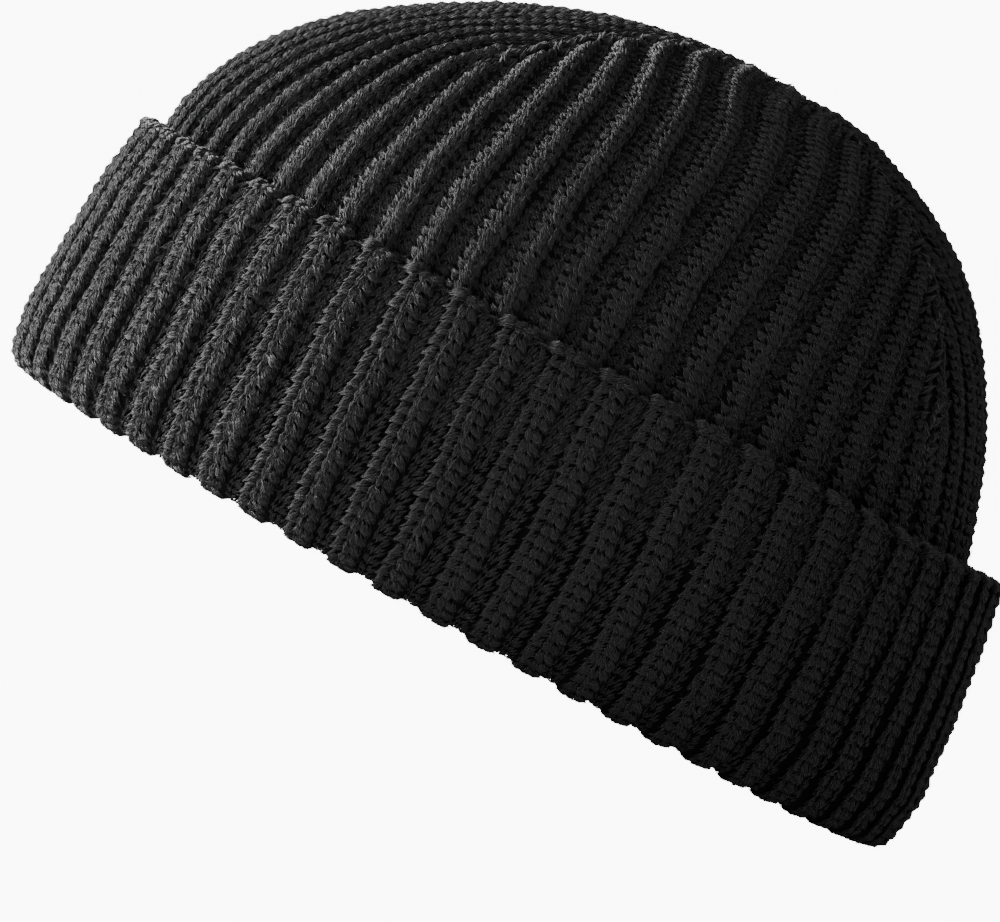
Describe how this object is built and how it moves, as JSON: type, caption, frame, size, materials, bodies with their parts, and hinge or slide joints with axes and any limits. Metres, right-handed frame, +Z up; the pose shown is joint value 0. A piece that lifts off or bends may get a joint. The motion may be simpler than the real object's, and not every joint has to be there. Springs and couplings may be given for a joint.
{
  "type": "knit hat",
  "caption": "Rib-knitted beanie with a short domed crown closed by darts and one deep turned-up cuff, worn over the top of the head.",
  "frame": {"origin": "middle of the hat's footprint, on the surface that the fold of the cuff rests on", "axes": "+X towards the back of the head and -X towards the forehead, +Z up"},
  "size_m": [0.214, 0.2044, 0.1303],
  "materials": {
    "yarn": "soft charcoal wool-look yarn, matt and slightly fuzzy"
  },
  "bodies": {
    "root": {"crown": "yarn", "cuff": "yarn"}
  },
  "joints": []
}
